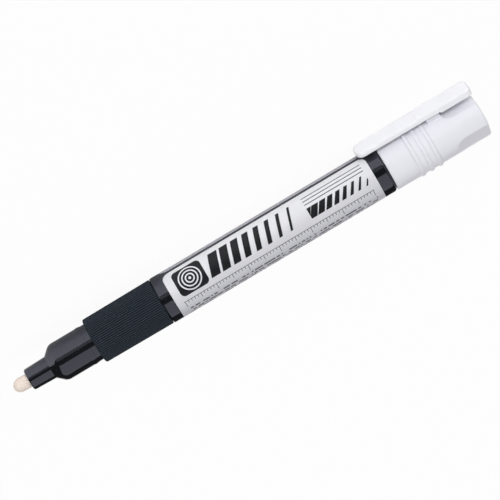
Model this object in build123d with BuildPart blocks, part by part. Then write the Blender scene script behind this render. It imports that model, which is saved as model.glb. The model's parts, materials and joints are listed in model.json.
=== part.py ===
from build123d import *

import os
from math import atan, cos, degrees, hypot, radians, sin, sqrt

# A paint marker with its cap posted on the tail. The marker lies along X with the nib at +X, and the
# origin is on its axis, at the middle of the label. Sizes are in millimetres and angles in degrees,
# counted about +X from +Y towards +Z.

os.makedirs("parts", exist_ok=True)

# Barrel and label
BARREL_DIAMETER = 14.0
BARREL_WALL = 1.7
BARREL_FRONT_ROUND = 0.45
BARREL_REAR_ROUND = 1.0
FRONT_BAND = 3.23
REAR_BAND = 3.86
LABEL_LENGTH = 64.7
LABEL_FILM = 0.12
LABEL_INSET = 0.03
LABEL_END_GAP = 0.1
LABEL_SEAM = 1.4
LABEL_SEAM_ANGLE = 219.1
LABEL_CORNER = 2.3

# Grip sleeve
GRIP_LENGTH = 21.55
GRIP_GAP = 0.15
GRIP_SETBACK = 0.1
GRIP_TAPER = 0.15
GRIP_FRONT_ROUND = 0.6
GRIP_REAR_ROUND = 0.12
RIB_COUNT = 68
RIB_GROOVE_DIAMETER = 0.42
RIB_GROOVE_DEPTH = 0.16

# Nose that holds the nib
CAP_SEAT_DIAMETER = 11.3
CAP_SEAT_LENGTH = 11.54
NECK_LENGTH = 1.5
NECK_DEPTH = 0.09
SNAP_BEAD_SETBACK = 2.5
SNAP_BEAD_WIDTH = 1.1
SNAP_BEAD_HEIGHT = 0.08
SHOULDER_LENGTH = 2.5
SHOULDER_ROUND = 2.4
SHOULDER_FOOT_ROUND = 0.25
TIP_STEP_LENGTH = 6.85
TIP_STEP_DIAMETER = 6.36
TIP_STEP_TAPER = 0.19
TIP_STEP_ROUND = 0.5
NIB_GUIDE_LENGTH = 12.0
FEED_BORE = 6.0
HOLDER_INSERT = 8.0
SEAL_SECTION = 0.8
SEAL_SIDE_ROOM = 0.15
SEAL_SETBACK = 3.0

# Nib and valve
NIB_DIAMETER = 4.1
NIB_EXPOSED = 4.76
NIB_LENGTH = 24.0
NIB_POINT_LENGTH = 2.2
ROD_REACH = 10.1
ROD_DIAMETER = 1.8
ROD_TAIL = 0.5
VALVE_HEAD_DIAMETER = 4.2
VALVE_HEAD_THICKNESS = 1.6
VALVE_GAP = 0.02
SEAT_DIAMETER = 7.6
SEAT_HOLE = 2.6
SEAT_THICKNESS = 1.5
CAGE_LENGTH = 14.0
CAGE_WALL = 0.8
CAGE_FLOOR = 1.2
FLOW_HOLE = 0.9
FLOW_HOLE_COUNT = 4
SPRING_WIRE = 0.45
SPRING_DIAMETER = 3.2
SPRING_TURNS = 7
SPRING_END_GAP = 0.03

# Reservoir
BALL_DIAMETER = 6.0
BALL_GAP = 0.05
PLUG_INSERT = 6.0
PLUG_WALL = 1.2
PLUG_END_ROUND = 0.5
TAIL_END_GAP = 1.0

# Cap
CAP_GAP = 0.15
CAP_CLEARANCE = 0.05
CAP_TAPER = 0.07
CAP_MOUTH_ROUND = 0.3
CAP_END_WALL = 1.78
CAP_END_ROUND = 0.6
RING_COUNT = 3
RING_START = 8.15
RING_PITCH = 2.8
RING_WIDTH = 1.2
RING_HEIGHT = 0.4
RING_ROUND = 0.38
FLAT_COUNT = 3
FLAT_LENGTH = 7.7
FLAT_DEPTH = 1.08
FLAT_RUNOUT = 5.0
INNER_CAP_GAP = 0.2
INNER_CAP_CLEARANCE = 0.13
INNER_CAP_WALL = 1.2
INNER_CAP_FLANGE = 1.0
INNER_CAP_LEAD = 0.4
NIB_ROOM = 1.6

# Clip, a lever that rocks on a post
CLIP_ANGLE = 210.0
CLIP_OVERHANG = 5.58
CLIP_REAR_OVERHANG = 0.3
CLIP_WIDTH = 5.2
CLIP_THICKNESS = 1.8
CLIP_LIFT = 1.7
CLIP_TIP_ROUND = 2.3
CLIP_REAR_ROUND = 1.2
CLIP_EDGE_ROUND = 0.5
CLIP_PAD_START = 13.4
CLIP_PAD_HEIGHT = 0.15
CLIP_PAD_ROUND = 1.6
LEVER_DROP = 0.55
LEVER_GAP = 0.35
LEVER_ROUND = 0.6
POST_SETBACK = 17.85
POST_LENGTH = 4.1
POST_WIDTH = 3.4
POST_TOP_GAP = 0.3
POST_FOOT_ROUND = 0.4
POST_TOE = 0.1
PIVOT_DIAMETER = 2.2
PIVOT_SIDE_GAP = 0.1

# Gaps between fixed pieces that fit together, and between pieces that slide or turn
FIT = 0.02
SLIDE_FIT = 0.05

# Radii worked out from the sizes above
barrel_radius = BARREL_DIAMETER / 2
bore_radius = barrel_radius - BARREL_WALL
label_outer = barrel_radius - LABEL_INSET
label_inner = label_outer - LABEL_FILM
recess_radius = label_inner - FIT
sleeve_radius = bore_radius - FIT
grip_bore = sleeve_radius + FIT
grip_rear_radius = barrel_radius - GRIP_SETBACK
grip_front_radius = grip_rear_radius - GRIP_TAPER
seat_radius = CAP_SEAT_DIAMETER / 2
tip_radius = TIP_STEP_DIAMETER / 2
tip_base_radius = tip_radius + TIP_STEP_TAPER
nib_radius = NIB_DIAMETER / 2
nib_bore = nib_radius + SLIDE_FIT
valve_bore = SEAT_DIAMETER / 2
rod_radius = ROD_DIAMETER / 2
cage_outer = valve_bore - FIT
cage_inner = cage_outer - CAGE_WALL
rod_guide = rod_radius + SLIDE_FIT
ball_radius = BALL_DIAMETER / 2
cap_radius = barrel_radius
cap_bore = seat_radius + CAP_CLEARANCE
inner_cap_bore = tip_base_radius + INNER_CAP_CLEARANCE
inner_cap_radius = inner_cap_bore + INNER_CAP_WALL
clip_bottom = cap_radius + CLIP_LIFT
clip_top = clip_bottom + CLIP_THICKNESS
pivot_radius = PIVOT_DIAMETER / 2

# Stations along the axis, from the label's middle to the nib
label_end = LABEL_LENGTH / 2
recess_end = label_end + LABEL_END_GAP
barrel_front = label_end + FRONT_BAND
holder_rear = barrel_front - HOLDER_INSERT
seal_middle = barrel_front - SEAL_SETBACK
grip_rear = barrel_front + GRIP_GAP
grip_front = grip_rear + GRIP_LENGTH
shoulder_rear = grip_front + CAP_SEAT_LENGTH
shoulder_front = shoulder_rear + SHOULDER_LENGTH
holder_front = shoulder_front + TIP_STEP_LENGTH
nib_front = holder_front + NIB_EXPOSED
nib_rear = nib_front - NIB_LENGTH
seat_front = nib_rear - ROD_REACH
seat_rear = seat_front - SEAT_THICKNESS
head_front = seat_rear - VALVE_GAP
head_rear = head_front - VALVE_HEAD_THICKNESS
cage_rear = seat_rear - CAGE_LENGTH
spring_rear = cage_rear + CAGE_FLOOR + SPRING_END_GAP
spring_front = head_rear - SPRING_END_GAP

# Stations from the label's middle to the cap's closed end, whose inside is as deep as the nose is long
barrel_rear = -label_end - REAR_BAND
plug_front = barrel_rear + PLUG_INSERT
cap_mouth = barrel_rear - CAP_GAP
inner_cap_mouth = cap_mouth - CAP_SEAT_LENGTH - SHOULDER_LENGTH - INNER_CAP_GAP
inner_cap_ledge = inner_cap_mouth - INNER_CAP_FLANGE
inner_cap_floor = cap_mouth - (nib_front - grip_front) - NIB_ROOM
inner_cap_end = inner_cap_floor - INNER_CAP_WALL
cap_floor = inner_cap_end - FIT
cap_end = cap_floor - CAP_END_WALL
tail_end = inner_cap_mouth + TAIL_END_GAP
pivot_station = cap_mouth - POST_SETBACK
clip_front = cap_mouth + CLIP_OVERHANG
clip_rear = cap_end - CLIP_REAR_OVERHANG
pad_front = cap_mouth - CLIP_PAD_START
lever_front = pivot_station - POST_LENGTH / 2 - LEVER_GAP


def outward(angle):
    """Direction from the axis to a point at this angle around it."""
    return Vector(0, cos(radians(angle)), sin(radians(angle)))


def side_plane(angle):
    """Plane through the axis, with its x along the axis and its y outward at this angle."""
    return Plane(origin=(0, 0, 0), x_dir=(1, 0, 0), z_dir=outward(angle + 90))


def face_plane(angle, distance, station=0.0):
    """Plane that faces outward at this angle, at a distance from the axis."""
    facing = outward(angle)
    return Plane(origin=facing * distance + Vector(station, 0, 0), x_dir=(1, 0, 0), z_dir=facing)


def clip_bar(front, front_round, low, high):
    """Bar from the clip's rear end to a rounded front end, between two distances from the axis."""
    with BuildPart() as bar:
        with BuildSketch(face_plane(CLIP_ANGLE, low)):
            with BuildLine():
                FilletPolyline(
                    (clip_rear, -CLIP_WIDTH / 2),
                    (front, -CLIP_WIDTH / 2),
                    (front, CLIP_WIDTH / 2),
                    (clip_rear, CLIP_WIDTH / 2),
                    radius=(CLIP_REAR_ROUND, front_round, front_round, CLIP_REAR_ROUND),
                    close=True,
                )
            make_face()
        extrude(amount=high - low)
        outer_faces = bar.faces().sort_by(Axis((0, 0, 0), outward(CLIP_ANGLE)))
        fillet(outer_faces[0].edges() + outer_faces[-1].edges(), CLIP_EDGE_ROUND)
    return bar.part


# Barrel: a plain tube, with a shallow recess for the label
with BuildPart() as barrel:
    with BuildSketch():
        with BuildLine():
            FilletPolyline(
                (barrel_rear, bore_radius),
                (barrel_rear, barrel_radius),
                (-recess_end, barrel_radius),
                (-recess_end, recess_radius),
                (recess_end, recess_radius),
                (recess_end, barrel_radius),
                (barrel_front, barrel_radius),
                (barrel_front, bore_radius),
                radius=(0, BARREL_REAR_ROUND, 0, 0, 0, 0, BARREL_FRONT_ROUND, 0),
                close=True,
            )
        make_face()
    revolve(axis=Axis.X)
barrel.part.label = "barrel"
export_step(barrel.part, "parts/barrel.step")

# Label: a film wrapped round the barrel up to a narrow seam, with its four corners rounded
seam_turn = degrees(LABEL_SEAM / label_outer)
label_start = LABEL_SEAM_ANGLE + seam_turn / 2
label_stop = LABEL_SEAM_ANGLE - seam_turn / 2
with BuildPart() as barrel_label:
    with BuildSketch(side_plane(label_start)):
        with Locations((0, (label_inner + label_outer) / 2)):
            Rectangle(LABEL_LENGTH, LABEL_FILM)
    revolve(axis=Axis.X, revolution_arc=360 - seam_turn)
    for edge_angle, inward in ((label_start, -1), (label_stop, 1)):
        for end in (-1, 1):
            with BuildSketch(face_plane(edge_angle, label_outer, end * label_end)):
                with Locations((-end * LABEL_CORNER / 2, inward * LABEL_CORNER / 2)):
                    Rectangle(LABEL_CORNER, LABEL_CORNER)
                with Locations((-end * LABEL_CORNER, inward * LABEL_CORNER)):
                    Circle(LABEL_CORNER, mode=Mode.SUBTRACT)
            extrude(amount=LABEL_CORNER / 2, both=True, mode=Mode.SUBTRACT)
barrel_label.part.label = "barrel_label"
export_step(barrel_label.part, "parts/barrel_label.step")

# Tail plug: a cup pressed into the barrel, whose closed end carries the posted cap
plug_bore = min(sleeve_radius, seat_radius) - PLUG_WALL
with BuildPart() as tail_plug:
    with BuildSketch():
        with BuildLine():
            FilletPolyline(
                (tail_end, 0),
                (tail_end, seat_radius),
                (barrel_rear, seat_radius),
                (barrel_rear, sleeve_radius),
                (plug_front, sleeve_radius),
                (plug_front, plug_bore),
                (tail_end + PLUG_WALL, plug_bore),
                (tail_end + PLUG_WALL, 0),
                radius=(0, PLUG_END_ROUND, 0, 0, 0, 0, 0, 0),
                close=True,
            )
        make_face()
    revolve(axis=Axis.X)
tail_plug.part.label = "tail_plug"
export_step(tail_plug.part, "parts/tail_plug.step")

# Mixing ball, lying on the bottom of the bore
with BuildPart() as mixing_ball:
    with Locations((0, 0, -(bore_radius - ball_radius - BALL_GAP))):
        Sphere(ball_radius)
mixing_ball.part.label = "mixing_ball"
export_step(mixing_ball.part, "parts/mixing_ball.step")

# Nose: a stepped tube that guides the nib, houses the valve and plugs into the barrel
neck_radius = seat_radius - NECK_DEPTH
seal_groove = bore_radius - 2 * FIT - SEAL_SECTION
seal_groove_half = SEAL_SECTION / 2 + SEAL_SIDE_ROOM
with BuildPart() as nib_holder:
    with BuildSketch():
        with BuildLine():
            FilletPolyline(
                (holder_rear, valve_bore),
                (holder_rear, sleeve_radius),
                (seal_middle - seal_groove_half, sleeve_radius),
                (seal_middle - seal_groove_half, seal_groove),
                (seal_middle + seal_groove_half, seal_groove),
                (seal_middle + seal_groove_half, sleeve_radius),
                (grip_front, sleeve_radius),
                (grip_front, neck_radius),
                (grip_front + NECK_LENGTH, neck_radius),
                (grip_front + NECK_LENGTH, seat_radius),
                (shoulder_rear, seat_radius),
                (shoulder_front, tip_base_radius),
                (holder_front, tip_radius),
                (holder_front, nib_bore),
                (holder_front - NIB_GUIDE_LENGTH, nib_bore),
                (holder_front - NIB_GUIDE_LENGTH, FEED_BORE / 2),
                (seat_front, FEED_BORE / 2),
                (seat_front, valve_bore),
                radius=(0,) * 10 + (SHOULDER_ROUND, SHOULDER_FOOT_ROUND, TIP_STEP_ROUND) + (0,) * 5,
                close=True,
            )
        make_face()
        with Locations((grip_front + SNAP_BEAD_SETBACK, seat_radius)):
            Ellipse(SNAP_BEAD_WIDTH / 2, SNAP_BEAD_HEIGHT)
    revolve(axis=Axis.X)
nib_holder.part.label = "nib_holder"
export_step(nib_holder.part, "parts/nib_holder.step")

# Sealing ring in the nose's groove, inside the barrel
with BuildPart() as holder_seal:
    with BuildSketch():
        with Locations((seal_middle, bore_radius - FIT - SEAL_SECTION / 2)):
            Circle(SEAL_SECTION / 2)
    revolve(axis=Axis.X)
holder_seal.part.label = "holder_seal"
export_step(holder_seal.part, "parts/holder_seal.step")

# Grip: a sleeve between the nose and the barrel, with fine ribs along its whole length
grip_slope = atan(GRIP_TAPER / GRIP_LENGTH)
groove_reach = hypot(GRIP_LENGTH, GRIP_TAPER)
groove_centre = grip_rear_radius + RIB_GROOVE_DIAMETER / 2 - RIB_GROOVE_DEPTH
groove_planes = [
    Plane(
        origin=outward(turn) * groove_centre + Vector(grip_rear, 0, 0),
        z_dir=Vector(cos(grip_slope), 0, 0) - outward(turn) * sin(grip_slope),
    )
    for turn in (360 * rib / RIB_COUNT for rib in range(RIB_COUNT))
]
with BuildPart() as grip_sleeve:
    with BuildSketch():
        with BuildLine():
            FilletPolyline(
                (grip_rear, grip_bore),
                (grip_rear, grip_rear_radius),
                (grip_front, grip_front_radius),
                (grip_front, grip_bore),
                radius=(0, GRIP_REAR_ROUND, GRIP_FRONT_ROUND, 0),
                close=True,
            )
        make_face()
    revolve(axis=Axis.X)
    with BuildSketch(*groove_planes):
        Circle(RIB_GROOVE_DIAMETER / 2)
    extrude(amount=groove_reach, mode=Mode.SUBTRACT)
grip_sleeve.part.label = "grip_sleeve"
export_step(grip_sleeve.part, "parts/grip_sleeve.step")

# Nib: a fibre rod with a bullet point
point_start = nib_front - NIB_POINT_LENGTH
with BuildPart() as nib:
    with BuildSketch():
        with BuildLine():
            EllipticalCenterArc((point_start, 0), NIB_POINT_LENGTH, nib_radius, arc_size=90)
            Polyline((point_start, nib_radius), (nib_rear, nib_radius), (nib_rear, 0), (nib_front, 0))
        make_face()
    revolve(axis=Axis.X)
nib.part.label = "nib"
export_step(nib.part, "parts/nib.step")

# Valve seat: a rubber ring against the ledge in the nose
with BuildPart() as valve_seat:
    with BuildSketch(Plane.YZ.offset(seat_rear)):
        Circle(cage_outer)
        Circle(SEAT_HOLE / 2, mode=Mode.SUBTRACT)
    extrude(amount=SEAT_THICKNESS)
valve_seat.part.label = "valve_seat"
export_step(valve_seat.part, "parts/valve_seat.step")

# Valve rod: its front end meets the nib, and its head closes on the seat
with BuildPart() as valve_rod:
    with BuildSketch():
        with BuildLine():
            Polyline(
                (cage_rear - ROD_TAIL, 0),
                (cage_rear - ROD_TAIL, rod_radius),
                (head_rear, rod_radius),
                (head_rear, VALVE_HEAD_DIAMETER / 2),
                (head_front, VALVE_HEAD_DIAMETER / 2),
                (head_front, rod_radius),
                (nib_rear, rod_radius),
                (nib_rear, 0),
                close=True,
            )
        make_face()
    revolve(axis=Axis.X)
valve_rod.part.label = "valve_rod"
export_step(valve_rod.part, "parts/valve_rod.step")

# Valve cage: a cup that clamps the seat, holds the spring and lets the paint in through its floor
with BuildPart() as valve_cage:
    with BuildSketch(Plane.YZ.offset(cage_rear)):
        Circle(cage_outer)
    extrude(amount=CAGE_LENGTH)
    with BuildSketch(Plane.YZ.offset(cage_rear + CAGE_FLOOR)):
        Circle(cage_inner)
    extrude(amount=CAGE_LENGTH - CAGE_FLOOR, mode=Mode.SUBTRACT)
    with BuildSketch(Plane.YZ.offset(cage_rear)):
        Circle(rod_guide)
        with PolarLocations((rod_guide + cage_inner) / 2, FLOW_HOLE_COUNT):
            Circle(FLOW_HOLE / 2)
    extrude(amount=CAGE_FLOOR, mode=Mode.SUBTRACT)
valve_cage.part.label = "valve_cage"
export_step(valve_cage.part, "parts/valve_cage.step")

# Valve spring: a coil round the rod, between the cage's floor and the valve's head
spring_travel = spring_front - spring_rear - SPRING_WIRE
spring_pitch = spring_travel / SPRING_TURNS
coil_start = (spring_rear + SPRING_WIRE / 2, 0, 0)
with BuildPart() as valve_spring:
    with BuildLine() as coil:
        Helix(spring_pitch, spring_travel, SPRING_DIAMETER / 2, coil_start, (1, 0, 0))
    with BuildSketch(Plane(origin=coil.line @ 0, z_dir=coil.line % 0)):
        Circle(SPRING_WIRE / 2)
    sweep()
valve_spring.part.label = "valve_spring"
export_step(valve_spring.part, "parts/valve_spring.step")
print(f"valve spring: least gap between turns {spring_pitch - SPRING_WIRE:.2f} mm")

# Inner cap: a liner that closes round the nose's narrow step when the cap is on the nib
with BuildPart() as inner_cap:
    with BuildSketch():
        with BuildLine():
            Polyline(
                (inner_cap_end, 0),
                (inner_cap_end, inner_cap_radius),
                (inner_cap_ledge + FIT, inner_cap_radius),
                (inner_cap_ledge + FIT, cap_bore - FIT),
                (inner_cap_mouth, cap_bore - FIT),
                (inner_cap_mouth, inner_cap_bore + INNER_CAP_LEAD),
                (inner_cap_mouth - INNER_CAP_LEAD, inner_cap_bore),
                (inner_cap_floor, inner_cap_bore),
                (inner_cap_floor, 0),
                close=True,
            )
        make_face()
    revolve(axis=Axis.X)
inner_cap.part.label = "inner_cap"
export_step(inner_cap.part, "parts/inner_cap.step")

# Cap: a tapered shell with rings, a snap groove for the nose's bead, and the post that carries the clip
snap_groove = cap_bore + SNAP_BEAD_HEIGHT
snap_front = cap_mouth - SNAP_BEAD_SETBACK + SNAP_BEAD_WIDTH / 2
post_base = (cap_radius + cap_bore) / 2
post_foot = sqrt((cap_radius - CAP_TAPER) ** 2 - (POST_WIDTH / 2) ** 2)
post_top = clip_bottom - POST_TOP_GAP
post_half = POST_LENGTH / 2
foot_half = post_half + POST_FOOT_ROUND + POST_TOE
flat_radius = cap_radius - FLAT_DEPTH
flat_front = cap_end + FLAT_LENGTH
with BuildPart() as cap_shell:
    with BuildSketch():
        with BuildLine():
            FilletPolyline(
                (cap_end, 0),
                (cap_end, cap_radius - CAP_TAPER),
                (cap_mouth, cap_radius),
                (cap_mouth, cap_bore),
                (snap_front, cap_bore),
                (snap_front, snap_groove),
                (snap_front - SNAP_BEAD_WIDTH, snap_groove),
                (snap_front - SNAP_BEAD_WIDTH, cap_bore),
                (inner_cap_ledge, cap_bore),
                (inner_cap_ledge, inner_cap_radius + FIT),
                (cap_floor, inner_cap_radius + FIT),
                (cap_floor, 0),
                radius=(0, CAP_END_ROUND, CAP_MOUTH_ROUND) + (0,) * 9,
                close=True,
            )
        make_face()
        for ring in range(RING_COUNT):
            with Locations((cap_mouth - RING_START - ring * RING_PITCH, cap_radius)):
                RectangleRounded(RING_WIDTH, 2 * RING_HEIGHT, RING_ROUND)
    revolve(axis=Axis.X)
    for flat in range(FLAT_COUNT):
        with BuildSketch(side_plane(CLIP_ANGLE + flat * 360 / FLAT_COUNT)):
            with BuildLine():
                FilletPolyline(
                    (flat_front + FLAT_RUNOUT, flat_radius),
                    (cap_end, flat_radius),
                    (cap_end, flat_radius - 2 * CAP_END_ROUND),
                    (cap_end - CAP_END_ROUND, flat_radius - 2 * CAP_END_ROUND),
                    (cap_end - CAP_END_ROUND, flat_radius + 2 * FLAT_RUNOUT),
                    (flat_front + FLAT_RUNOUT, flat_radius + 2 * FLAT_RUNOUT),
                    radius=(FLAT_RUNOUT, CAP_END_ROUND, 0, 0, 0, 0),
                    close=True,
                )
            make_face()
        extrude(amount=cap_radius, both=True, mode=Mode.SUBTRACT)
    with BuildSketch(side_plane(CLIP_ANGLE)):
        with BuildLine():
            FilletPolyline(
                (pivot_station - foot_half, post_base),
                (pivot_station - foot_half, post_foot),
                (pivot_station - post_half, post_foot),
                (pivot_station - post_half, post_top),
                (pivot_station + post_half, post_top),
                (pivot_station + post_half, post_foot),
                (pivot_station + foot_half, post_foot),
                (pivot_station + foot_half, post_base),
                radius=(0, 0, POST_FOOT_ROUND, 0, 0, POST_FOOT_ROUND, 0, 0),
                close=True,
            )
        make_face()
        with Locations((pivot_station, clip_bottom)):
            Circle(pivot_radius)
    extrude(amount=POST_WIDTH / 2, both=True)
cap_shell.part.label = "cap_shell"
export_step(cap_shell.part, "parts/cap_shell.step")

# Clip: a lever with rounded ends, a raised pad over its rear half, a thicker end to press behind the
# post, and a socket for the post's bead
arm = clip_bar(clip_front, CLIP_TIP_ROUND, clip_bottom, clip_top)
pad = clip_bar(pad_front, CLIP_PAD_ROUND, clip_bottom + CLIP_EDGE_ROUND, clip_top + CLIP_PAD_HEIGHT)
lever = clip_bar(lever_front, LEVER_ROUND, clip_bottom - LEVER_DROP, clip_top - CLIP_EDGE_ROUND)
with BuildPart() as cap_clip:
    add([arm, pad, lever])
    with BuildSketch(side_plane(CLIP_ANGLE)):
        with Locations((pivot_station, clip_bottom)):
            Circle(pivot_radius + SLIDE_FIT)
    extrude(amount=POST_WIDTH / 2 + PIVOT_SIDE_GAP, both=True, mode=Mode.SUBTRACT)
cap_clip.part.label = "cap_clip"
export_step(cap_clip.part, "parts/cap_clip.step")
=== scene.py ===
# %% [markdown]
# # A paint marker with its cap posted on the tail
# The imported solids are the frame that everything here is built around. They come in at their true size, in
# metres, with the marker along X and the nib at +X. Loading them comes first, and their box is kept, because
# the finished looks must not make the marker larger than it is.

# %% Load the frame
import json
from math import atan2, cos, hypot, pi, radians, sin, tan

import bpy
from mathutils import Matrix, Vector


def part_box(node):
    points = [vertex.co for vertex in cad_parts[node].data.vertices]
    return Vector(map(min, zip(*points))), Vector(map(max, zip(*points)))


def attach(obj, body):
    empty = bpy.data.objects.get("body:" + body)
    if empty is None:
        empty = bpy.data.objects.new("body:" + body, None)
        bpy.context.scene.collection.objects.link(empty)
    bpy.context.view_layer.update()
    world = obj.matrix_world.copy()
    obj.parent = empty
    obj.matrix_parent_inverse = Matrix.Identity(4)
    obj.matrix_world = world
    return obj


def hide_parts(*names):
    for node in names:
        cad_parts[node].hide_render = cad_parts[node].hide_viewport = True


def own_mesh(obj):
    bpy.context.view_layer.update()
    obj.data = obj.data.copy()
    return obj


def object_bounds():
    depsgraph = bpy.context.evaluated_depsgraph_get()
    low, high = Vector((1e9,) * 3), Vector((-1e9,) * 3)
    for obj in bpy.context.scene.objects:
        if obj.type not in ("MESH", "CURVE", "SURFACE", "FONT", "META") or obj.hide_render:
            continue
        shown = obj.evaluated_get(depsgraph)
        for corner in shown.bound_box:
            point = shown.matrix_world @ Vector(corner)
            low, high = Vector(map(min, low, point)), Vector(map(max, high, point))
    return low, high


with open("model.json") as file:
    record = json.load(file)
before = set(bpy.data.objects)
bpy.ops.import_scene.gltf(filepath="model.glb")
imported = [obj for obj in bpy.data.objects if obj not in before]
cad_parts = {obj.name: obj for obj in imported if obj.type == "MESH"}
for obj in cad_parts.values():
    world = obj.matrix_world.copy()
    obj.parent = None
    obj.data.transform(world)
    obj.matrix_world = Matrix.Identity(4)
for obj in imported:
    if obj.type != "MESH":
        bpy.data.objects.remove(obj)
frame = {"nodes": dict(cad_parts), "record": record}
cad_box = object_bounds()
MM = 0.001
print("CAD box in mm:", [[round(value / MM, 2) for value in corner] for corner in cad_box])

# %% [markdown]
# ## Camera
# The photograph looks down on the marker from the side with a long lens, and its frame is turned, so that the
# cap points to the upper right. A camera could be aimed with a Track To constraint, but that can't give the
# turn. Here its three directions are worked out from two angles, and the lens from the marker's size in
# pixels.

# %% Set up the camera
VIEW_ELEVATION = radians(22.4)
AXIS_TILT = radians(30.76)
DISTANCE = 0.85
FRAME_PIXELS = 500
PIXELS_PER_METRE = 3622
CENTRE_STATION = 7.39 * MM
CENTRE_DROP = 0.35 * MM

backward = Vector((0, -cos(VIEW_ELEVATION), sin(VIEW_ELEVATION)))
clip_side = Vector((0, -sin(VIEW_ELEVATION), -cos(VIEW_ELEVATION)))
to_cap = Vector((-1, 0, 0))
right = to_cap * cos(AXIS_TILT) - clip_side * sin(AXIS_TILT)
upward = to_cap * sin(AXIS_TILT) + clip_side * cos(AXIS_TILT)

bpy.ops.object.select_all(action="DESELECT")
bpy.ops.object.camera_add()
camera = bpy.context.active_object
camera.matrix_world = Matrix((right, upward, backward)).transposed().to_4x4()
camera.location = Vector((CENTRE_STATION, 0, 0)) - clip_side * CENTRE_DROP + backward * DISTANCE
camera.data.lens = camera.data.sensor_width * PIXELS_PER_METRE * DISTANCE / FRAME_PIXELS
bpy.context.scene.camera = camera
bpy.context.scene.view_settings.view_transform = "Standard"
print(f"camera lens {camera.data.lens:.0f} mm")

# %% [markdown]
# ## Shader maths
# A finish is a small sum: a mask times one colour plus the rest times another. Wiring that by hand takes a
# node for every sign. This class wraps the output of a node, so that the sum can be written as Python, and
# each operator adds the Math node that it stands for.


# %% Wrap a socket
def fill(node, values):
    """Give a node's sockets their values, or link signals to them."""
    for name, value in values.items():
        if isinstance(value, Signal):
            node.id_data.links.new(value.socket, node.inputs[name])
        else:
            node.inputs[name].default_value = value


class Signal:
    """The output of a shader node. Arithmetic on signals adds Math nodes to the same finish."""

    def __init__(self, tree, socket=None):
        self.tree = tree
        self.socket = socket

    def node(self, kind, settings=None, values=None, output=0):
        """Add a node of this kind, make its settings, then fill its sockets."""
        made = self.tree.nodes.new("ShaderNode" + kind)
        for name, value in (settings or {}).items():
            setattr(made, name, value)
        fill(made, values or {})
        return Signal(self.tree, made.outputs[output])

    def maths(self, operation, *values):
        return self.node("Math", {"operation": operation}, dict(enumerate(values)))

    def mix(self, where_off, where_on):
        """One colour where this signal is 0, and another where it is 1."""
        return self.node("Mix", {"data_type": "RGBA"}, {0: self, 6: where_off, 7: where_on}, 2)

    def span(self, low, high):
        """One number where this signal is 0, and another where it is 1."""
        return low + (high - low) * self

    def __add__(self, other):
        return self.maths("ADD", self, other)

    def __sub__(self, other):
        return self.maths("SUBTRACT", self, other)

    def __rsub__(self, other):
        return self.maths("SUBTRACT", other, self)

    def __mul__(self, other):
        return self.maths("MULTIPLY", self, other)

    def __truediv__(self, other):
        return self.maths("DIVIDE", self, other)

    def __mod__(self, other):
        return self.maths("FLOORED_MODULO", self, other)

    def __gt__(self, other):
        return self.maths("GREATER_THAN", self, other)

    def __lt__(self, other):
        return self.maths("LESS_THAN", self, other)

    def __abs__(self):
        return self.maths("ABSOLUTE", self)

    __radd__ = __add__
    __rmul__ = __mul__


print("shader maths ready")

# %% [markdown]
# Every finish starts alike: with a fresh material, and with places on the piece in millimetres, so that a
# grain can be given at the size it has on the real plastic.

# %% Start a finish
GRAIN_DETAIL = 3


def new_finish(name):
    """A fresh material, a signal to start its nodes from, and its shader."""
    finish = bpy.data.materials.new(name)
    finish.use_nodes = True
    return finish, Signal(finish.node_tree), finish.node_tree.nodes["Principled BSDF"]


def in_millimetres(start):
    """Places on the piece, in millimetres, as one vector."""
    place = start.node("TexCoord", output="Object")
    return start.node("VectorMath", {"operation": "SCALE"}, {0: place, "Scale": 1 / MM})


def round_the_axis(start, place):
    """Distance along the marker's axis, and angle round it."""
    along = start.node("SeparateXYZ", None, {0: place})
    across, height = (Signal(start.tree, along.socket.node.outputs[name]) for name in "YZ")
    return along, start.maths("ARCTAN2", height, across)


def grain(start, place, scale, stretch=(1, 1, 1)):
    """Noise from 0 to 1, with about this many grains to the millimetre."""
    stretched = start.node("Mapping", None, {"Vector": place, "Scale": stretch})
    values = {"Vector": stretched, "Scale": scale, "Detail": GRAIN_DETAIL}
    return start.node("TexNoise", None, values, "Fac")


def relief(start, height, depth):
    """A bump of this depth in millimetres."""
    return start.node("Bump", None, {"Strength": 1.0, "Distance": depth * MM, "Height": height})


print("finishes can be started")

# %% [markdown]
# ## Floor and light
# The marker lies on a white table under soft light. A lit white floor alone renders light grey, so the
# camera, and the reflections in the black gloss, see it mixed with a plain white glow. The rest of the mix
# keeps the shadow that the marker throws.

# %% Lay the floor
FLOOR_SIZE = 12.0
FLOOR_GLOW = 0.95
FLOOR_SHEEN = 0.05


def seen_as(start, by_camera, in_gloss):
    """One value where the camera sees a surface directly, and another in reflections and through glass."""
    camera_ray, glossy_ray, clear_ray = (
        start.node("LightPath", output=f"Is {kind} Ray") for kind in ("Camera", "Glossy", "Transmission")
    )
    return camera_ray * by_camera + (glossy_ray + clear_ray) * in_gloss


lowest = cad_box[0][2]
bpy.ops.mesh.primitive_plane_add(size=FLOOR_SIZE, location=(0, 0, lowest))
floor = bpy.context.active_object
floor.name = "floor"
floor_finish, start, shader = new_finish("white_table")
fill(shader, {"Base Color": (0.9, 0.9, 0.9, 1), "Roughness": 1.0, "Specular IOR Level": 0.0})
seen = seen_as(start, FLOOR_GLOW, FLOOR_SHEEN)
glow = start.node("Emission", None, {"Color": (1, 1, 1, 1), "Strength": 1.0})
table = start.node("MixShader", None, {0: seen, 1: Signal(start.tree, shader.outputs[0]), 2: glow})
start.tree.links.new(table.socket, start.tree.nodes["Material Output"].inputs["Surface"])
floor.data.materials.append(floor_finish)
print(f"floor at {lowest / MM:.2f} mm")

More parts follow.
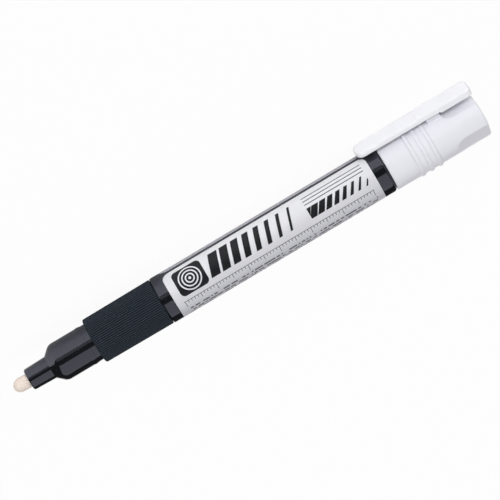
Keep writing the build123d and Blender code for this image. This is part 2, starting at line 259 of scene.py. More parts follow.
# %% [markdown]
# A round black body shows its lamps as bands, so the lamps are placed by the bands in the photograph. One
# wide panel overhead gives the band on the lower half, and a dim card in front fades the edge of the floor's
# band. A faint panel above the first and six far out at the corners light the pale pieces from all sides. On
# set, flags would keep them out of the black gloss, and here they are hidden from glossy rays.


# %% Hang the lamps
def soft_panel(name, place, size, brightness, reflected=True):
    """A rectangular soft lamp that faces the marker. Brightness is what its surface shows."""
    bpy.ops.object.light_add(type="AREA", location=place)
    lamp = bpy.context.active_object
    lamp.name = name
    lamp.rotation_euler = Vector(place).to_track_quat("Z", "Y").to_euler()
    lamp.visible_glossy = reflected
    lamp.data.shape = "RECTANGLE"
    lamp.data.size, lamp.data.size_y = size
    lamp.data.energy = brightness * pi * size[0] * size[1]


def hidden_panel(name, place, size, brightness):
    """A soft lamp that gloss doesn't show."""
    soft_panel(name, place, size, brightness, reflected=False)


soft_panel("overhead", place=(0, -0.06, 0.5), size=(1.2, 0.82), brightness=0.45)
hidden_panel("overhead_fill", place=(0, -0.06, 0.52), size=(1.2, 0.82), brightness=0.1)
soft_panel("front_card", place=(0, -1.3, 0.19), size=(2.4, 0.36), brightness=0.2)
for side in (-1, 1):
    hidden_panel("high_side", place=(side * 0.9, 0.6, 1.0), size=(1.0, 1.0), brightness=1.4)
    hidden_panel("low_front", place=(side * 0.55, -1.25, 0.25), size=(1.0, 0.5), brightness=4.7)
    hidden_panel("low_back", place=(side * 0.55, 1.25, 0.25), size=(1.0, 0.5), brightness=3.6)
print("nine lamps hung")

# %% [markdown]
# The room stays dim, which keeps the line between the bands dark. Only the camera sees it white, as it does
# the floor, so a view from low down has no dark horizon.

# %% Set the room
ROOM_LIGHT = 0.03
ROOM_SHEEN = 0.005

room = bpy.data.worlds.new("dim_room")
room.use_nodes = True
strength = ROOM_LIGHT + seen_as(Signal(room.node_tree), 1 - ROOM_LIGHT, ROOM_SHEEN)
fill(room.node_tree.nodes["Background"], {"Color": (1, 1, 1, 1), "Strength": strength})
bpy.context.scene.world = room
print(f"room light {ROOM_LIGHT}")

# %% [markdown]
# ## Moulded plastics
# Most of the marker is injection moulded. A polished mould leaves gloss with faint flow marks, and a spark
# eroded one leaves a fine matt grain. Both are one recipe with other numbers: noise that shifts the colour
# and the roughness a little, and a bump at the scale of the mould's own texture.

# %% Write the recipe
FLOW_SCALE = 0.22
FLOW_STRETCH = (0.35, 1, 1)
FLOW_SHARE = 0.6


def moulded(name, dark, light, roughness, grain_scale, bump, **constants):
    """A moulded plastic between two colours, with a span of roughness and a grain of this height in mm."""
    finish, start, shader = new_finish(name)
    place = in_millimetres(start)
    flow = grain(start, place, FLOW_SCALE, FLOW_STRETCH)
    fine = grain(start, place, grain_scale)
    fill(shader, {
        "Base Color": flow.mix((*dark, 1), (*light, 1)),
        "Roughness": (FLOW_SHARE * flow + (1 - FLOW_SHARE) * fine).span(*roughness),
        "Normal": relief(start, fine, bump),
        **constants,
    })
    return finish


print("recipe ready")

# %% [markdown]
# The nose and the barrel are polished black, the cap and its clip are white from a less polished mould, and
# the pieces inside are milky plastic that has no colour added. The clip's white is painted lighter than the
# cap's, which is painted light. The seals are rubber, which is moulded too.

# %% Make the moulded finishes
black_gloss = moulded(
    "black_gloss", dark=(0.004, 0.004, 0.005), light=(0.006, 0.006, 0.008), roughness=(0.06, 0.14),
    grain_scale=1.2, bump=0.0015, IOR=2.2, **{"Specular Tint": (0.80, 0.83, 1.0, 1)},
)
white_plastic = moulded(
    "white_plastic", dark=(0.77, 0.77, 0.825), light=(0.82, 0.82, 0.875), roughness=(0.28, 0.42),
    grain_scale=2.5, bump=0.002,
)
natural_plastic = moulded(
    "natural_plastic", dark=(0.72, 0.73, 0.72), light=(0.82, 0.83, 0.82), roughness=(0.35, 0.5),
    grain_scale=3.0, bump=0.003,
)
seal_rubber = moulded(
    "seal_rubber", dark=(0.02, 0.02, 0.02), light=(0.035, 0.035, 0.034), roughness=(0.6, 0.8),
    grain_scale=8.0, bump=0.01,
)
# The clip's white is lighter than the cap's only as painted light.
clip_painted_light_white = moulded(
    "clip_painted_light_white", dark=(0.88, 0.88, 0.92), light=(0.92, 0.92, 0.955), roughness=(0.28, 0.42),
    grain_scale=2.5, bump=0.002,
)
print("five moulded finishes made")

# %% [markdown]
# ## Grip finish
# The grip is the same kind of plastic from a rougher mould. Handling polishes the crowns of its ribs, and
# dust dulls the grooves, so a wave round the axis with as many crests as there are ribs shifts its gloss. The
# same wave paints the grooves darker than the crowns, which is painted shade.

# %% Make the grip's finish
RIB_COUNT = 68
SPARK_SCALE = 8.0
SPARK_DEPTH = 0.012
SPARK_ROUGHNESS = 0.1
WEAR_SCALE = 0.3
WEAR_LEAST = 0.75
# The grooves' colour is painted shade.
GROOVE_PAINTED_SHADE = (0.002, 0.003, 0.004, 1)
CROWN_COLOUR = (0.026, 0.036, 0.050, 1)
GROOVE_ROUGHNESS = 0.66
CROWN_ROUGHNESS = 0.42

grip_plastic, start, shader = new_finish("grip_plastic")
place = in_millimetres(start)
_, turn = round_the_axis(start, place)
crown = 0.5 - 0.5 * start.maths("COSINE", turn * RIB_COUNT)
sparks = grain(start, place, SPARK_SCALE)
# This mask sets real wear in the gloss, and painted shade that darkens the grooves' colour.
wear_and_groove_shade = crown * grain(start, place, WEAR_SCALE).span(WEAR_LEAST, 1)
fill(shader, {
    "Base Color": wear_and_groove_shade.mix(GROOVE_PAINTED_SHADE, CROWN_COLOUR),
    "Roughness": wear_and_groove_shade.span(GROOVE_ROUGHNESS, CROWN_ROUGHNESS) + SPARK_ROUGHNESS * sparks,
    "Normal": relief(start, sparks, SPARK_DEPTH),
    "Specular Tint": (0.80, 0.90, 1.0, 1),
})
print("grip finish made")

# %% [markdown]
# ## Nib fibre
# The nib is sintered from cream fibre, so its surface is a mass of tiny pores, which a Voronoi pattern gives
# better than noise.

# %% Make the nib's fibre
PORE_SCALE = 7.0
PORE_DEPTH = 0.02
FIBRE_SCALE = 1.1
FIBRE_SHARE = 0.55
FIBRE_DARK = (0.80, 0.68, 0.60, 1)
FIBRE_LIGHT = (0.90, 0.80, 0.72, 1)
FIBRE_ROUGHNESS = (0.7, 0.9)

nib_fibre, start, shader = new_finish("nib_fibre")
place = in_millimetres(start)
pores = start.node("TexVoronoi", None, {"Vector": place, "Scale": PORE_SCALE}, "Distance")
tone = FIBRE_SHARE * grain(start, place, FIBRE_SCALE) + (1 - FIBRE_SHARE) * pores
fill(shader, {
    "Base Color": tone.mix(FIBRE_DARK, FIBRE_LIGHT),
    "Roughness": pores.span(*FIBRE_ROUGHNESS),
    "Normal": relief(start, pores, PORE_DEPTH),
})
print("nib fibre made")

# %% [markdown]
# ## Steel
# The ball and the spring are bright drawn steel, with fine marks round them. Noise that is squeezed along the
# axis gives such marks.

# %% Make the steel
MARK_SCALE = 5.0
MARK_STRETCH = (4, 0.4, 0.4)
MARK_DEPTH = 0.002
STEEL_DARK = (0.52, 0.52, 0.53, 1)
STEEL_LIGHT = (0.66, 0.66, 0.67, 1)
STEEL_ROUGHNESS = (0.16, 0.34)

steel, start, shader = new_finish("bright_steel")
marks = grain(start, in_millimetres(start), MARK_SCALE, MARK_STRETCH)
fill(shader, {
    "Base Color": marks.mix(STEEL_DARK, STEEL_LIGHT),
    "Roughness": marks.span(*STEEL_ROUGHNESS),
    "Normal": relief(start, marks, MARK_DEPTH),
    "Metallic": 1.0,
})
print("steel made")

# %% [markdown]
# ## Printed label
# The label is a silver film wrapped round the barrel. Its print could be a picture on a UV map. Here it is
# drawn with shader maths, so it stays sharp at any size: one distance runs along the barrel, and the other
# round it from the film's edge at the seam, both in millimetres as on a flat sheet. The design is a plain
# technical one: a ringed panel, slanted bars that thin out, a broken band, a scale of ticks and rows of
# dashes, with a field of dots on the back.

# %% Measure out the label
LABEL_RADIUS = 6.97
SEAM_EDGE = radians(213.35)
FULL_TURN = 2 * pi

label_film, start, shader = new_finish("label_film")
place = in_millimetres(start)
along, turn = round_the_axis(start, place)
around = ((SEAM_EDGE - turn) % FULL_TURN) * LABEL_RADIUS
print(f"label sheet {FULL_TURN * LABEL_RADIUS:.1f} mm round")

# %% [markdown]
# Each shape of the print is a mask of 0 and 1, made from limits on the two distances. A few helpers say such
# limits in words.


# %% Make the drawing tools
def between(value, low, high):
    """1 where a signal lies between two limits."""
    return (value > low) * (value < high)


def either(first, second):
    """The larger of two signals, which for masks is either of them."""
    return first.maths("MAXIMUM", first, second)


def far(across, down):
    """Distance from a point, from the two distances to it."""
    return across.maths("SQRT", across * across + down * down)


def rounded_panel(along, around, left, right, top, bottom, corner):
    """1 inside a rectangle with rounded corners."""
    past_side = abs(along - (left + right) / 2) - ((right - left) / 2 - corner)
    past_edge = abs(around - (top + bottom) / 2) - ((bottom - top) / 2 - corner)
    return far(either(past_side, 0.0), either(past_edge, 0.0)) < corner


print("drawing tools ready")

# %% [markdown]
# The front of the label carries the bold shapes. The panel's circles come from the distance to its middle.
# The bars slant, which is a matter of adding a share of one distance to the other, and each is thinner than
# the one before it.

# %% Draw the panel and the bars
PANEL = (21.0, 29.9, 1.3, 9.1)
PANEL_CORNER = 1.4
CIRCLE_PITCH = 1.0
CIRCLE_LIGHT = 0.4
CIRCLE_REACH = 3.4
BAR_START = 18.2
BAR_PITCH = 3.6
BAR_COUNT = 8
BAR_SLANT = 0.32
BAR_WIDEST = 0.8
BAR_THINNING = 0.085
BAR_ROWS = (1.9, 8.5)

from_middle = far(along - (PANEL[0] + PANEL[1]) / 2, around - (PANEL[2] + PANEL[3]) / 2)
circles = (from_middle % CIRCLE_PITCH < CIRCLE_LIGHT) * (from_middle < CIRCLE_REACH)
panel = rounded_panel(along, around, *PANEL, PANEL_CORNER) * (1 - circles)

slanted = BAR_START - along + BAR_SLANT * (around - BAR_ROWS[0])
bar_number = start.maths("FLOOR", slanted / BAR_PITCH)
bar_part = slanted / BAR_PITCH - bar_number
bars = (bar_part < BAR_WIDEST - BAR_THINNING * bar_number) * between(slanted, 0, BAR_PITCH * BAR_COUNT)
bars = bars * between(around, *BAR_ROWS)
print(f"a panel and {BAR_COUNT} bars drawn")

# %% [markdown]
# Behind the bars lies a band with slits that widen towards the cap, and above it a few rules.

# %% Draw the band and the rules
PRINT_END = 30.3
BAND_START = -11.6
BAND_ROWS = (5.3, 8.5)
SLIT_PITCH = 2.3
SLIT_SLANT = 0.6
SLIT_WIDEST = 0.8
RULES = (1.9, 3.0, 4.1)
RULE_WIDTH = 0.24

behind = BAND_START - along
slit_growth = SLIT_WIDEST * SLIT_PITCH / (PRINT_END + BAND_START)
solid = (behind + SLIT_SLANT * around) % SLIT_PITCH > behind * slit_growth
rear = between(along, -PRINT_END, BAND_START)
band = rear * solid * between(around, *BAND_ROWS)
for rule in RULES:
    band = either(band, rear * between(around, rule, rule + RULE_WIDTH))
bold = either(either(panel, bars), band)
print(f"a band and {len(RULES)} rules drawn")

# %% [markdown]
# Below them runs a scale of ticks, with longer ticks at 5 and 10 mm, and rows of fine dashes. A white noise
# texture that reads the number of each cell decides which cells of a row are filled.

# %% Draw the fine print
SCALE_LINE = 10.4
TICKS = ((1, 0.9), (5, 1.5), (10, 2.1))
TICK_WIDTH = 0.18
DASH_ROWS = (13.3, 14.6, 15.9, 17.2)
DASH_HEIGHT = 0.55
DASH_CELL = 0.5
CELLS_PER_ROW = 200.0
BLANK_SHARE = 0.32

fine = between(around, SCALE_LINE, SCALE_LINE + TICK_WIDTH)
for pitch, length in TICKS:
    tick = (along + TICK_WIDTH / 2) % pitch < TICK_WIDTH
    fine = either(fine, tick * between(around, SCALE_LINE, SCALE_LINE + length))
for number, row in enumerate(DASH_ROWS):
    cell = start.maths("FLOOR", along / DASH_CELL) + CELLS_PER_ROW * number
    chance = start.node("TexWhiteNoise", {"noise_dimensions": "1D"}, {"W": cell}, "Value")
    fine = either(fine, (chance > BLANK_SHARE) * between(around, row, row + DASH_HEIGHT))
print(f"a scale and {len(DASH_ROWS)} rows of dashes drawn")

# %% [markdown]
# The back of the label has a field of dots, largest in the middle. A remainder repeats one dot over the
# sheet, and the distance from the middle sets its size.

# %% Draw the back
DOT_FIELD = (19.5, 39.0)
DOT_PITCH = 1.5
DOT_LARGEST = 0.62
DOT_FADE = 36.0

from_dot = far(along % DOT_PITCH - DOT_PITCH / 2, around % DOT_PITCH - DOT_PITCH / 2)
dots = (from_dot < DOT_LARGEST * (1 - abs(along) / DOT_FADE)) * between(around, *DOT_FIELD)
fine = either(fine, dots) * (abs(along) < PRINT_END)
print("a field of dots drawn")

# %% [markdown]
# The film is satin silver with the fine marks of its rolling. Its colour fades from pale at the seam's front
# edge to darker round the back, which is painted shade. The ink lies on it as a thin glossy coat.

# %% Finish the label
# The film's two colours and the width of their fade are painted light and painted shade round the label.
PAINTED_SHADE_WIDTH = 14.0
FILM_PAINTED_LIGHT = (0.94, 0.94, 0.965, 1)
FILM_PAINTED_SHADE = (0.63, 0.63, 0.68, 1)
FILM_ROUGHNESS = (0.42, 0.54)
FILM_METAL = 0.15
ROLLING_SCALE = 1.2
ROLLING_STRETCH = (0.15, 3, 3)
ROLLING_COLOUR = (0.48, 0.48, 0.52, 1)
ROLLING_SHARE = 0.16
ROLLING_RELIEF = 0.2
INK_COLOUR = (0.008, 0.008, 0.010, 1)
INK_GLOSS = 0.1
INK_DEPTH = 0.004
FINE_INK = 0.88

# Painted shade: the film's colour darkens from the seam's front edge round the back.
painted_shade = start.maths("MINIMUM", around / PAINTED_SHADE_WIDTH, 1.0)
rolling = grain(start, place, ROLLING_SCALE, ROLLING_STRETCH)
film = (ROLLING_SHARE * rolling).mix(painted_shade.mix(FILM_PAINTED_LIGHT, FILM_PAINTED_SHADE), ROLLING_COLOUR)
ink = either(bold, FINE_INK * fine)
fill(shader, {
    "Base Color": ink.mix(film, INK_COLOUR),
    "Roughness": rolling.span(*FILM_ROUGHNESS) - INK_GLOSS * ink,
    "Metallic": FILM_METAL * (1 - ink),
    "Normal": relief(start, ink + ROLLING_RELIEF * rolling, INK_DEPTH),
})
print("label printed")

# %% [markdown]
# ## Turned pieces
# The nose, the barrel, the nib, the grip and the cap are round, so one outline turned about the axis makes
# each of them, as on a lathe. The outline starts as a plane merged to one point. The point is extruded from
# corner to corner, and then the corners are bevelled. To bevel one corner, its point has to be selected
# alone, so points are selected by their place.

# %% Select points by their place
SAME_PLACE = 1e-7


def select_points(piece, wanted):
    """Select only the points of a piece whose place passes a test, and stay in edit mode."""
    bpy.ops.object.mode_set(mode="EDIT")
    bpy.ops.mesh.select_mode(type="VERT")
    bpy.ops.mesh.select_all(action="DESELECT")
    bpy.ops.object.mode_set(mode="OBJECT")
    for point in piece.data.vertices:
        point.select = wanted(point.co)
    bpy.ops.object.mode_set(mode="EDIT")


def select_corners(piece, *corners):
    """Select the points of an outline that are at these corners."""
    places = [Vector((*corner[:2], 0)) * MM for corner in corners]
    select_points(piece, lambda place: min((place - corner).length for corner in places) < SAME_PLACE)


print("points can be selected")

# %% [markdown]
# An outline that starts on the axis is left open, because turning closes it. Any other is closed with an
# edge. Bevel asks how far from the corner a rounding starts, which follows from its radius and from how
# sharply the outline turns there.


# %% Draw an outline
def corner_turn(before, corner, after):
    """Angle by which an outline turns at a corner."""
    incoming = Vector(corner[:2]) - Vector(before[:2])
    outgoing = Vector(after[:2]) - Vector(corner[:2])
    return incoming.angle(outgoing)


def drawn(name, outline, segments):
    """Draw an outline of (station, radius, rounding), in mm, as edges, and stay in edit mode."""
    bpy.ops.object.select_all(action="DESELECT")
    bpy.ops.mesh.primitive_plane_add(size=MM)
    piece = bpy.context.active_object
    piece.name = name
    piece.data.name = name
    bpy.ops.object.mode_set(mode="EDIT")
    bpy.ops.mesh.select_mode(type="VERT")
    bpy.ops.mesh.merge(type="CENTER")
    place = Vector((0, 0))
    for number, corner in enumerate(outline):
        step = (Vector(corner[:2]) - place) * MM
        if number:
            bpy.ops.mesh.extrude_region_move(TRANSFORM_OT_translate={"value": (*step, 0)})
        else:
            bpy.ops.transform.translate(value=(*step, 0))
        place = Vector(corner[:2])
    if outline[0][1] > 0:
        select_corners(piece, outline[0], outline[-1])
        bpy.ops.mesh.edge_face_add()
    for number, corner in enumerate(outline):
        if corner[2]:
            before, after = outline[number - 1], outline[(number + 1) % len(outline)]
            select_corners(piece, corner)
            offset = corner[2] * tan(corner_turn(before, corner, after) / 2) * MM
            bpy.ops.mesh.bevel(offset=offset, segments=segments, affect="VERTICES")
    bpy.ops.mesh.select_all(action="SELECT")
    return piece


print("outlines can be drawn")

# %% [markdown]
# Spin sweeps the outline round. Its first and last rows of points lie on each other, so they are merged, and
# after that the faces are turned outwards. A finished piece takes its finish, hides the solid that it stands
# for, and moves with that solid's body.

# %% Make the lathe
TURN_STEPS = 144
ROUND_SEGMENTS = 8
SMOOTH_ANGLE = radians(32)


def turned(name, outline, steps=TURN_STEPS):
    """Turn an outline about the axis."""
    piece = drawn(name, outline, ROUND_SEGMENTS)
    bpy.ops.mesh.spin(steps=steps, angle=FULL_TURN, center=(0, 0, 0), axis=(1, 0, 0))
    bpy.ops.mesh.select_all(action="SELECT")
    bpy.ops.mesh.remove_doubles(threshold=SAME_PLACE)
    bpy.ops.mesh.normals_make_consistent(inside=False)
    bpy.ops.object.mode_set(mode="OBJECT")
    bpy.ops.object.shade_smooth_by_angle(angle=SMOOTH_ANGLE)
    return piece


def settle(piece, finish, node, body):
    """Give a finished piece its finish, hide the node that it stands for, and attach it to its body."""
    piece.data.materials.clear()
    piece.data.materials.append(finish)
    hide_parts(node)
    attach(piece, body)
    print(f"{piece.name}: {len(piece.data.polygons)} faces")


def station(node, end):
    """Where a node starts (0) or ends (1) along the axis, in millimetres."""
    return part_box(node)[end][0] / MM


print("lathe ready")

# %% [markdown]
# ### Nose
# The nose is one black moulding in two steps with a rounded shoulder between them. Its wide step has a low
# bead that the cap snaps over, and a narrow neck against the grip. The inside steps up towards the valve.

# %% Turn the nose
SEAT_RADIUS = 5.65
NECK_DEPTH = 0.09
NECK_LENGTH = 1.5
NECK_ROUND = 0.05
STEP_ROUND = 0.03
BEAD_MIDDLE = 2.5
BEAD = ((-0.55, 0), (-0.42, 0.052), (-0.22, 0.073), (0, 0.08), (0.22, 0.073), (0.42, 0.052), (0.55, 0))
SHOULDER_REAR = 11.54
SHOULDER_LENGTH = 2.5
SHOULDER_ROUND = 2.4
TIP_RADIUS = 3.18
TIP_ROUND = 0.5
TIP_BASE_RADIUS = 3.37
TIP_BASE_ROUND = 0.25
SLEEVE_RADIUS = 5.28
SLEEVE_ROUND = 0.2
NIB_RADIUS = 2.05
NIB_PLAY = 0.05
NIB_GUIDE = 12.0
NIB_MOUTH_ROUND = 0.1
FEED_RADIUS = 3.0
VALVE_RADIUS = 3.8
SEAL_GROOVE = 4.46
SEAL_PLAY = 0.15

nose_rear, nose_front = station("nib_holder", 0), station("nib_holder", 1)
grip_rear, grip_front = station("grip_sleeve", 0), station("grip_sleeve", 1)
seal_rear, seal_front = station("holder_seal", 0) - SEAL_PLAY, station("holder_seal", 1) + SEAL_PLAY
seat_front = station("valve_seat", 1)
neck_front = grip_front + NECK_LENGTH
shoulder_rear = grip_front + SHOULDER_REAR
guide_rear = nose_front - NIB_GUIDE
nose = turned("nose", [
    (nose_rear, VALVE_RADIUS, 0),
    (nose_rear, SLEEVE_RADIUS, SLEEVE_ROUND),
    (seal_rear, SLEEVE_RADIUS, 0),
    (seal_rear, SEAL_GROOVE, 0),
    (seal_front, SEAL_GROOVE, 0),
    (seal_front, SLEEVE_RADIUS, 0),
    (grip_front, SLEEVE_RADIUS, 0),
    (grip_front, SEAT_RADIUS - NECK_DEPTH, NECK_ROUND),
    (neck_front, SEAT_RADIUS - NECK_DEPTH, STEP_ROUND),
    (neck_front, SEAT_RADIUS, STEP_ROUND),
    *((grip_front + BEAD_MIDDLE + step, SEAT_RADIUS + rise, 0) for step, rise in BEAD),
    (shoulder_rear, SEAT_RADIUS, SHOULDER_ROUND),
    (shoulder_rear + SHOULDER_LENGTH, TIP_BASE_RADIUS, TIP_BASE_ROUND),
    (nose_front, TIP_RADIUS, TIP_ROUND),
    (nose_front, NIB_RADIUS + NIB_PLAY, NIB_MOUTH_ROUND),
    (guide_rear, NIB_RADIUS + NIB_PLAY, 0),
    (guide_rear, FEED_RADIUS, 0),
    (seat_front, FEED_RADIUS, 0),
    (seat_front, VALVE_RADIUS, 0),
])
settle(nose, black_gloss, "nib_holder", "marker")

# %% [markdown]
# ### Barrel
# The barrel is a plain black tube. A recess as deep as the film keeps the label's edges from catching.

# %% Turn the barrel
BARREL_RADIUS = 7.0
BORE_RADIUS = 5.3
BORE_ROUND = 0.1
RECESS_RADIUS = 6.83
RECESS_PLAY = 0.1
RECESS_ROUND = 0.03
TAIL_ROUND = 1.0
FRONT_ROUND = 0.45

barrel_rear, barrel_front = station("barrel", 0), station("barrel", 1)
recess_rear = station("barrel_label", 0) - RECESS_PLAY
recess_front = station("barrel_label", 1) + RECESS_PLAY
barrel = turned("barrel_tube", [
    (barrel_rear, BORE_RADIUS, BORE_ROUND),
    (barrel_rear, BARREL_RADIUS, TAIL_ROUND),
    (recess_rear, BARREL_RADIUS, RECESS_ROUND),
    (recess_rear, RECESS_RADIUS, 0),
    (recess_front, RECESS_RADIUS, 0),
    (recess_front, BARREL_RADIUS, RECESS_ROUND),
    (barrel_front, BARREL_RADIUS, FRONT_ROUND),
    (barrel_front, BORE_RADIUS, BORE_ROUND),
])
settle(barrel, black_gloss, "barrel", "marker")

# %% [markdown]
# ### Nib
# The nib is a fibre rod with a bullet point. Each corner of the point is given by how far it lies behind the
# tip, its share of the nib's radius, and its rounding.

# %% Turn the nib
NIB_STEPS = 72
NIB_REAR_ROUND = 0.2
NIB_POINT = ((2.2, 1, 0), (1.35, 0.925, 0.9), (0.55, 0.66, 0.9), (0, 0.3, 0.5))

nib_rear, nib_front = station("nib", 0), station("nib", 1)
nib = turned("bullet_nib", [
    (nib_rear, 0, 0),
    (nib_rear, NIB_RADIUS, NIB_REAR_ROUND),
    *((nib_front - setback, share * NIB_RADIUS, rounding) for setback, share, rounding in NIB_POINT),
    (nib_front, 0, 0),
], NIB_STEPS)
settle(nib, nib_fibre, "nib", "tip")

# %% [markdown]
# ### Grip
# The grip is a matt sleeve with fine ribs along it. The ribs could be a bump in the finish, but then the
# outline would stay round. Here the sleeve is turned with eight points to a rib, and the points at each
# groove are drawn in towards the axis, deepest in the middle, so a groove has a round bottom.

# %% Turn and rib the grip
POINTS_PER_RIB = 8
GRIP_REAR_RADIUS = 6.9
GRIP_REAR_ROUND = 0.12
GRIP_FRONT_RADIUS = 6.75
GRIP_FRONT_ROUND = 0.6
RIBBED_BEYOND = 6.0
GROOVE_DEPTHS = {0: 0.18, 1: 0.16, 2: 0.095}


def from_groove(place):
    """How many points round from the middle of the nearest groove this place is."""
    number = round(atan2(place.z, place.y) / FULL_TURN * RIB_COUNT * POINTS_PER_RIB)
    return min(number % POINTS_PER_RIB, -number % POINTS_PER_RIB)


grip = turned("ribbed_grip", [
    (grip_rear, BORE_RADIUS, 0),
    (grip_rear, GRIP_REAR_RADIUS, GRIP_REAR_ROUND),
    (grip_front, GRIP_FRONT_RADIUS, GRIP_FRONT_ROUND),
    (grip_front, BORE_RADIUS, 0),
], RIB_COUNT * POINTS_PER_RIB)
for offset, depth in GROOVE_DEPTHS.items():
    select_points(grip, lambda place: from_groove(place) == offset and hypot(*place.yz) > RIBBED_BEYOND * MM)
    inward = 1 - depth / GRIP_REAR_RADIUS
    bpy.ops.transform.resize(value=(1, inward, inward), center_override=(0, 0, 0))
    bpy.ops.object.mode_set(mode="OBJECT")
settle(grip, grip_plastic, "grip_sleeve", "marker")

# %% [markdown]
# ### Cap
# The cap is a white moulding: a slightly tapered shell with three soft rings, and inside it a wide bore for
# the tail and a narrow one for the liner. All of that is round, so it is turned like the nose.

# %% Turn the cap's shell
CAP_RADIUS = 7.0
CAP_TAPER = 0.07
CAP_END_ROUND = 0.6
CAP_MOUTH_ROUND = 0.3
RING_SETBACKS = (13.75, 10.95, 8.15)
RING_RADIUS = 7.395
RING_FOOT = 0.78
RING_TOP = 0.36
RING_ROUND = 0.38
CAP_BORE = 5.7
SNAP_RADIUS = 5.78
SNAP_SETBACKS = (1.95, 3.05)
LINER_RADIUS = 4.72
LINER_PLAY = 0.02
LINER_PROUD = 1.0

cap_rear, cap_mouth = station("cap_shell", 0), station("cap_shell", 1)
liner_rear, liner_front = station("inner_cap", 0) - LINER_PLAY, station("inner_cap", 1) - LINER_PROUD
rings = []
for setback in RING_SETBACKS:
    middle = cap_mouth - setback
    shell = CAP_RADIUS - CAP_TAPER * setback / (cap_mouth - cap_rear)
    rings += [
        (middle - RING_FOOT, shell, RING_ROUND), (middle - RING_TOP, RING_RADIUS, RING_ROUND),
        (middle + RING_TOP, RING_RADIUS, RING_ROUND), (middle + RING_FOOT, shell, RING_ROUND),
    ]
snap_front, snap_rear = (cap_mouth - setback for setback in SNAP_SETBACKS)
cap = turned("turned_cap", [
    (cap_rear, 0, 0),
    (cap_rear, CAP_RADIUS - CAP_TAPER, CAP_END_ROUND),
    *rings,
    (cap_mouth, CAP_RADIUS, CAP_MOUTH_ROUND),
    (cap_mouth, CAP_BORE, 0),
    (snap_front, CAP_BORE, 0),
    (snap_front, SNAP_RADIUS, 0),
    (snap_rear, SNAP_RADIUS, 0),
    (snap_rear, CAP_BORE, 0),
    (liner_front, CAP_BORE, 0),
    (liner_front, LINER_RADIUS, 0),
    (liner_rear, LINER_RADIUS, 0),
    (liner_rear, 0, 0),
])
print(f"cap shell {cap_mouth - cap_rear:.2f} mm long")

# %% [markdown]
# In the mould, slides form the three flats at the cap's closed end and the post that carries the clip. Here
# Boolean modifiers do that. The outlines of their tools are drawn like the turned ones, but they are
# extruded, and then turned round the axis to their places.

# %% Make the cap's tools
CUT_SEGMENTS = 24


def extruded(name, outline, width):
    """Fill a closed outline and extrude it, half of the width to each side."""
    tool = drawn(name, outline, CUT_SEGMENTS)
    bpy.ops.mesh.edge_face_add()
    bpy.ops.transform.translate(value=(0, 0, -width / 2 * MM))
    bpy.ops.mesh.extrude_region_move(TRANSFORM_OT_translate={"value": (0, 0, width * MM)})
    bpy.ops.mesh.select_all(action="SELECT")
    bpy.ops.mesh.normals_make_consistent(inside=False)
    bpy.ops.object.mode_set(mode="OBJECT")
    return tool


def combine(tool, operation, angle):
    """Turn a tool to its angle round the axis, and cut it from the cap or add it."""
    tool.rotation_euler.x = angle
    bpy.ops.object.transform_apply(rotation=True)
    bpy.ops.object.select_all(action="DESELECT")
    cap.select_set(True)
    bpy.context.view_layer.objects.active = cap
    step = cap.modifiers.new("step", "BOOLEAN")
    step.operation = operation
    step.object = tool
    bpy.ops.object.modifier_apply(modifier=step.name)
    bpy.data.objects.remove(tool)


print("cap's tools ready")

# %% [markdown]
# The flats are a third of a turn apart, and one lies under the clip. Each runs out in a wide curve towards
# the rings, and meets the closed end in the same rounding as the shell does. The tool's rim passes a hair
# behind the end, because a Boolean is unsure of faces that lie on each other.

# %% Cut the flats
CLIP_ANGLE = radians(210)
FLAT_ANGLES = (CLIP_ANGLE, CLIP_ANGLE + FULL_TURN / 3, CLIP_ANGLE - FULL_TURN / 3)
FLAT_RADIUS = 5.92
FLAT_LENGTH = 7.7
FLAT_RUNOUT = 5.0
CUT_HEIGHT = 10.0
CUT_WIDTH = 16.0
PAST_FACE = 0.002

wall = cap_rear + FLAT_LENGTH + FLAT_RUNOUT
rim = cap_rear - PAST_FACE
for angle in FLAT_ANGLES:
    cutter = extruded("cutter", [
        (wall, FLAT_RADIUS, FLAT_RUNOUT),
        (rim, FLAT_RADIUS, CAP_END_ROUND),
        (rim, FLAT_RADIUS - 2 * CAP_END_ROUND, 0),
        (rim - CAP_END_ROUND, FLAT_RADIUS - 2 * CAP_END_ROUND, 0),
        (rim - CAP_END_ROUND, FLAT_RADIUS + CUT_HEIGHT, 0),
        (wall, FLAT_RADIUS + CUT_HEIGHT, 0),
    ], CUT_WIDTH)
    combine(cutter, "DIFFERENCE", angle)
print(f"{len(FLAT_ANGLES)} flats cut")

# %% [markdown]
# The post stands on the shell with a small fillet at its foot, and the round bead on top of it is what the
# clip rocks on. Where surfaces nearly meet, a Boolean leaves slivers. Those are dissolved at the end, and the
# loose edges that this leaves are deleted.

# %% Add the post and finish the cap
POST_WIDTH = 3.4
POST_HALF = 2.05
POST_FOOT_HALF = 2.55
POST_LEVELS = (5.8, 6.72, 8.4)
POST_FOOT_ROUND = 0.4
PIVOT_SETBACK = 17.85
PIVOT_HEIGHT = 8.7
PIVOT_RADIUS = 1.1
PIVOT_SIDES = 48
SLIVER = 0.002
CAP_SMOOTH_ANGLE = radians(20)

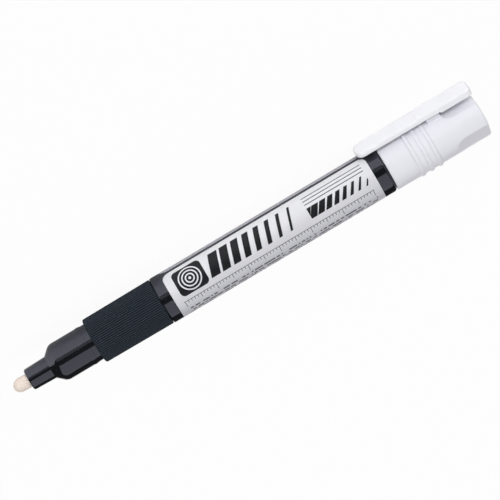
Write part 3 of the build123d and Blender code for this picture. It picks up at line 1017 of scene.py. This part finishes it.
pivot = cap_mouth - PIVOT_SETBACK
base, foot, top = POST_LEVELS
post = extruded("post", [
    (pivot - POST_FOOT_HALF, base, 0),
    (pivot - POST_FOOT_HALF, foot, 0),
    (pivot - POST_HALF, foot, POST_FOOT_ROUND),
    (pivot - POST_HALF, top, 0),
    (pivot + POST_HALF, top, 0),
    (pivot + POST_HALF, foot, POST_FOOT_ROUND),
    (pivot + POST_FOOT_HALF, foot, 0),
    (pivot + POST_FOOT_HALF, base, 0),
], POST_WIDTH)
combine(post, "UNION", CLIP_ANGLE)
bpy.ops.object.select_all(action="DESELECT")
bpy.ops.mesh.primitive_cylinder_add(
    vertices=PIVOT_SIDES, radius=PIVOT_RADIUS * MM, depth=POST_WIDTH * MM,
    location=(pivot * MM, PIVOT_HEIGHT * MM, 0),
)
pivot_bead = bpy.context.active_object
bpy.ops.object.transform_apply(location=True)
combine(pivot_bead, "UNION", CLIP_ANGLE)
bpy.ops.object.mode_set(mode="EDIT")
bpy.ops.mesh.select_all(action="SELECT")
bpy.ops.mesh.dissolve_degenerate(threshold=SLIVER * MM)
bpy.ops.mesh.select_all(action="SELECT")
bpy.ops.mesh.delete_loose()
bpy.ops.object.mode_set(mode="OBJECT")
bpy.ops.object.shade_smooth_by_angle(angle=CAP_SMOOTH_ANGLE)
settle(cap, white_plastic, "cap_shell", "cap")

# %% [markdown]
# ## Valve spring
# The spring closes the valve behind the nib. It could be a curve with a round bevel. Here a Screw modifier
# winds the section of its wire round the axis, as a coiling machine does, and leaves a mesh.

# %% Wind the spring
WIRE = 0.45
COIL_DIAMETER = 3.2
COIL_TURNS = 7
STEPS_PER_TURN = 32
WIRE_SIDES = 12

coil_rear, coil_front = station("valve_spring", 0), station("valve_spring", 1)
coil_length = coil_front - coil_rear
bpy.ops.object.select_all(action="DESELECT")
wire_place = Vector((coil_rear + WIRE / 2, COIL_DIAMETER / 2, 0)) * MM
bpy.ops.mesh.primitive_circle_add(vertices=WIRE_SIDES, radius=WIRE / 2 * MM, location=wire_place)
spring = bpy.context.active_object
spring.name = "coil_spring"
spring.data.name = "coil_spring"
bpy.ops.object.transform_apply(location=True)
winding = spring.modifiers.new("winding", "SCREW")
winding.axis = "X"
winding.screw_offset = (coil_length - WIRE) / COIL_TURNS * MM
winding.iterations = COIL_TURNS
winding.steps = winding.render_steps = STEPS_PER_TURN
bpy.ops.object.modifier_apply(modifier=winding.name)
bpy.ops.object.mode_set(mode="EDIT")
bpy.ops.mesh.select_all(action="SELECT")
bpy.ops.mesh.fill_holes(sides=0)
bpy.ops.mesh.normals_make_consistent(inside=False)
bpy.ops.object.mode_set(mode="OBJECT")
bpy.ops.object.shade_smooth_by_angle(angle=SMOOTH_ANGLE)
settle(spring, steel, "valve_spring", "marker")

# %% [markdown]
# A pressed nib shortens the spring against the floor of the valve's cage. Here the share of its length that
# it keeps at the full press is worked out from the joint's range, and the spring is given a mesh of its own.

# %% Work out how far the spring shortens
press = next(joint for joint in frame["record"]["behaviour"]["joints"] if joint["name"] == "nib_press")
keep = 1 - press["range_m"][1] / MM / coil_length
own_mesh(spring)
print(f"spring {coil_length:.2f} mm, shortens to {100 * keep:.0f} per cent")

# %% [markdown]
# ## The other solids
# The label, the clip and the pieces inside have the right shape as they are, so they keep it, and each takes
# the finish of what it is made of. The clip's finish is the white painted lighter, as painted light.

# %% Dress the solids
finishes = {
    "barrel_label": label_film, "cap_clip": clip_painted_light_white, "inner_cap": natural_plastic,
    "tail_plug": black_gloss, "holder_seal": seal_rubber, "valve_seat": seal_rubber,
    "valve_cage": natural_plastic, "valve_rod": natural_plastic, "mixing_ball": steel,
}
for node, finish in finishes.items():
    materials = frame["nodes"][node].data.materials
    materials.clear()
    materials.append(finish)
print(f"{len(finishes)} solids dressed")
